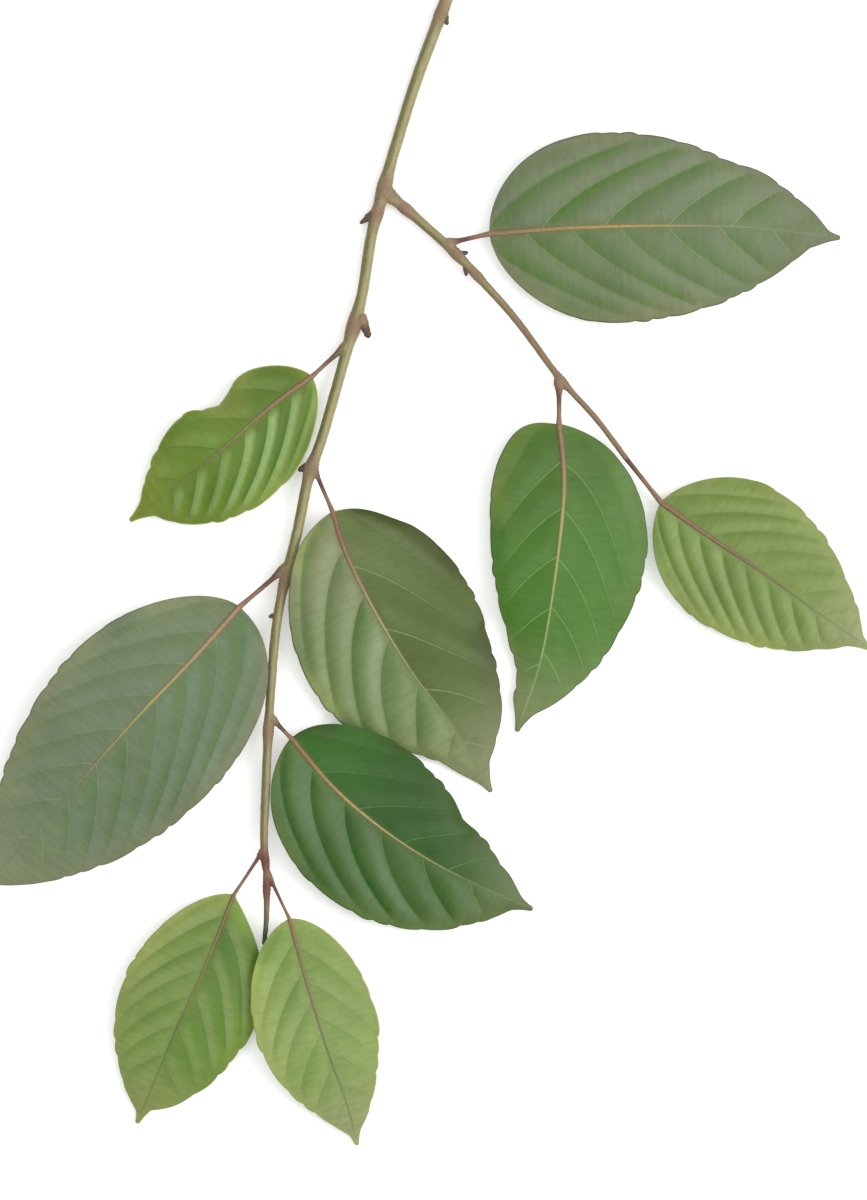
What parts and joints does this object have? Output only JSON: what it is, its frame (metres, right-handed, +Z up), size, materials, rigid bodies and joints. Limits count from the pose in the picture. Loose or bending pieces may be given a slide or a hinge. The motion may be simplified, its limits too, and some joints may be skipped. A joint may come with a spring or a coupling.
{
  "type": "leafy sprig",
  "caption": "Leafy sprig cut from a woody shrub, lying flat: a slim stem with a side twig and broad leaves with drip tips on short stalks.",
  "frame": {"origin": "middle of the footprint, on the surface that the sprig lies on", "axes": "+Z up, +Y along the sprig towards the cut end of the stem, +X towards the side twig"},
  "size_m": [0.2218, 0.292, 0.0107],
  "materials": {
    "bark": "smooth young bark, satin",
    "bud_scale": "dry scales, matt",
    "leaf_stalk": "smooth skin, satin",
    "blade_grey_green": "waxy leaf skin, soft sheen",
    "blade_deep_green": "waxy leaf skin, soft sheen",
    "blade_olive_green": "waxy leaf skin, soft sheen",
    "blade_yellow_green": "waxy leaf skin, soft sheen",
    "blade_bright_green": "waxy leaf skin, soft sheen"
  },
  "bodies": {
    "root": {"main_stem": "bark", "side_twig": "bark", "stalk_stub": "bud_scale", "bud_scale_top": "bud_scale", "bud_spur": "bud_scale", "bud_middle": "bud_scale", "bud_lower": "bud_scale", "twig_bud_1": "bud_scale", "twig_bud_2": "bud_scale", "twig_leaf_1_stalk": "leaf_stalk", "twig_leaf_1_blade": "blade_grey_green", "twig_leaf_2_stalk": "leaf_stalk", "twig_leaf_2_blade": "blade_deep_green", "twig_leaf_3_stalk": "leaf_stalk", "twig_leaf_3_blade": "blade_yellow_green", "stem_leaf_1_stalk": "leaf_stalk", "stem_leaf_1_blade": "blade_bright_green", "stem_leaf_2_stalk": "leaf_stalk", "stem_leaf_2_blade": "blade_olive_green", "stem_leaf_3_stalk": "leaf_stalk", "stem_leaf_3_blade": "blade_grey_green", "stem_leaf_4_stalk": "leaf_stalk", "stem_leaf_4_blade": "blade_deep_green", "stem_leaf_5_stalk": "leaf_stalk", "stem_leaf_5_blade": "blade_yellow_green", "stem_leaf_6_stalk": "leaf_stalk", "stem_leaf_6_blade": "blade_yellow_green"}
  },
  "joints": []
}
